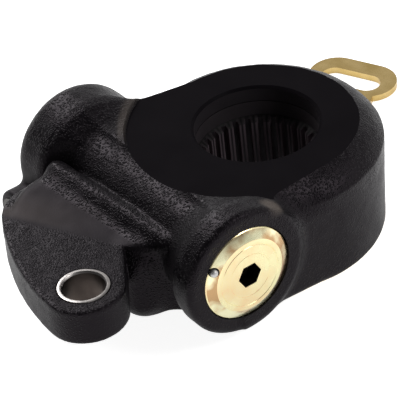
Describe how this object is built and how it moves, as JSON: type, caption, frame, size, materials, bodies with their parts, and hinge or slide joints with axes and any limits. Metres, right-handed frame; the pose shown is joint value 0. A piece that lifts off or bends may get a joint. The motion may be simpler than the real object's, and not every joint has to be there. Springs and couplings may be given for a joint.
{
  "type": "brake slack adjuster",
  "caption": "Automatic brake slack adjuster: cast lever with splined worm wheel, worm and one-way clutch, clevis bush, plated cover cap and slotted control arm.",
  "frame": {"origin": "on the camshaft axis, level with the worm axis, inside the splined bore of the worm wheel", "axes": "+Z out of the machined face along the camshaft, +X along the worm towards the cover cap, -Y towards the clevis lug"},
  "size_m": [0.127, 0.215, 0.0573],
  "materials": {
    "cast_black": "sand-cast iron under thin black paint, satin, grainy",
    "zinc_yellow": "steel, turned or stamped, yellow zinc plated",
    "plain_steel": "bright machined steel",
    "dark_steel": "hardened steel, dark phosphate film under oil",
    "seal_rubber": "black nitrile rubber"
  },
  "bodies": {
    "housing": {"body": "cast_black", "clevis_bush": "plain_steel", "cover_cap": "zinc_yellow", "cap_lock_ball": "plain_steel", "cap_seal": "seal_rubber", "load_spring": "dark_steel", "spring_seat": "plain_steel", "thrust_balls": "plain_steel", "shaft_seal": "seal_rubber", "rack_spring": "plain_steel", "rack_plug": "dark_steel", "camshaft_seal": "seal_rubber", "control_cover": "zinc_yellow", "control_seal": "seal_rubber", "cover_gasket": "seal_rubber", "cover_screws": "plain_steel", "grease_nipple": "zinc_yellow"},
    "wheel": {"worm_wheel": "dark_steel", "wheel_seal": "seal_rubber"},
    "worm": {"worm_shaft": "dark_steel", "clutch_ring": "dark_steel", "clutch_spring": "plain_steel"},
    "control": {"control_disc": "dark_steel", "control_arm": "zinc_yellow", "arm_rivets": "plain_steel"},
    "rack_bar": {"rack": "dark_steel"},
    "one_way_gear": {"clutch_gear": "plain_steel"}
  },
  "joints": [
    {"name": "wheel_turn", "type": "hinge", "parent": "housing", "child": "wheel", "pos_m": [0, 0, 0], "axis": [0, 0, 1], "continuous": true},
    {"name": "worm_turn", "type": "hinge", "parent": "housing", "child": "worm", "pos_m": [0, -0.045, 0], "axis": [1, 0, 0], "continuous": true},
    {"name": "control_swing", "type": "hinge", "parent": "housing", "child": "control", "pos_m": [0, 0, 0], "axis": [0, 0, 1], "range_deg": [-12, 12]},
    {"name": "rack_slide", "type": "slide", "parent": "housing", "child": "rack_bar", "axis": [0, 1, 0], "range_m": [-0.00785, 0.00785], "deforming": ["rack_spring"]},
    {"name": "clutch_gear_turn", "type": "hinge", "parent": "housing", "child": "one_way_gear", "pos_m": [-0.0544, -0.045, 0], "axis": [1, 0, 0], "range_deg": [-45, 45]}
  ],
  "couplings": [
    {"joint": "worm_turn", "follows": "wheel_turn", "ratio": -25},
    {"joint": "rack_slide", "follows": "control_swing", "m_per_rad": -0.0375},
    {"joint": "clutch_gear_turn", "follows": "control_swing", "ratio": -3.75}
  ]
}
